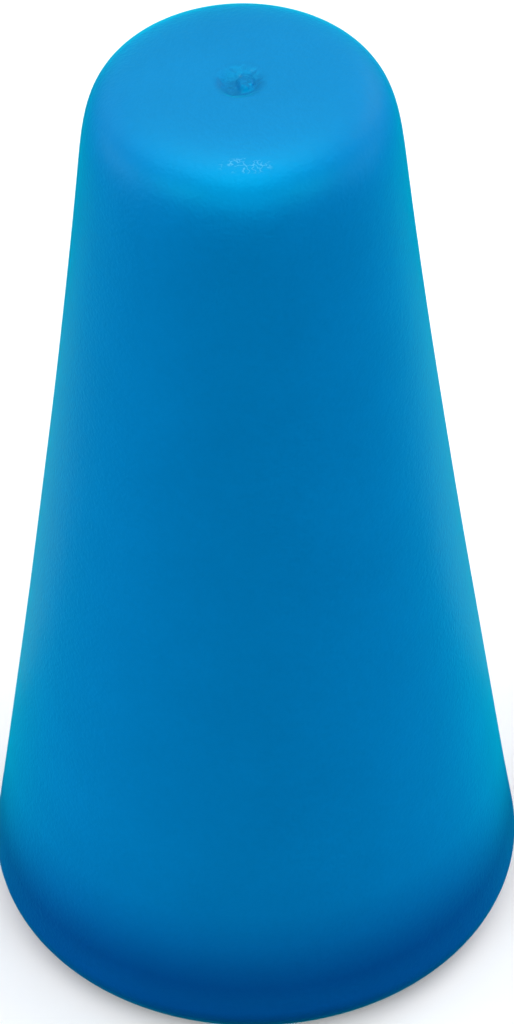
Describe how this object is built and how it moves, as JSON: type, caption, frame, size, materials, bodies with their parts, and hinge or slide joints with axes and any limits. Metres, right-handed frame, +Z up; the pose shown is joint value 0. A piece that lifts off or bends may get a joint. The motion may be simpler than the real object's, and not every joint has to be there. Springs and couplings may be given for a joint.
{
  "type": "pipette filler bulb",
  "caption": "Tapered squeeze bulb of soft blue elastomer, closed at its narrow end, on a push-in base plug with a silicone chuck that grips a pipette.",
  "frame": {"origin": "on the bulb's axis, at the plane it stands on", "axes": "+Z up along the bulb's axis, from the foot towards the closed end; X and Y are across it"},
  "size_m": [0.046, 0.046, 0.09],
  "materials": {
    "bulb_elastomer": "matte, slightly translucent blue moulded elastomer with a fine eroded grain",
    "plug_plastic": "satin injection-moulded polypropylene, dark blue",
    "chuck_silicone": "matte, milky translucent silicone",
    "filter_porous": "white hydrophobic fibre disc",
    "cap_plastic": "satin injection-moulded polypropylene, dark blue"
  },
  "bodies": {
    "base_plug": {"base_plug": "plug_plastic"},
    "bulb_shell": {"bulb_shell": "bulb_elastomer"},
    "pipette_chuck": {"pipette_chuck": "chuck_silicone"},
    "filter_disc": {"filter_disc": "filter_porous"},
    "retaining_cap": {"retaining_cap": "cap_plastic"}
  },
  "joints": [
    {"name": "bulb_pull_off", "type": "slide", "parent": "base_plug", "child": "bulb_shell", "axis": [0, 0, 1], "range_m": [0, 0.1]},
    {"name": "chuck_pull_out", "type": "slide", "parent": "base_plug", "child": "pipette_chuck", "axis": [0, 0, 1], "range_m": [0, 0.025]},
    {"name": "filter_lift_out", "type": "slide", "parent": "pipette_chuck", "child": "filter_disc", "axis": [0, 0, 1], "range_m": [0, 0.008]},
    {"name": "cap_pull_off", "type": "slide", "parent": "filter_disc", "child": "retaining_cap", "axis": [0, 0, 1], "range_m": [0, 0.012]}
  ]
}
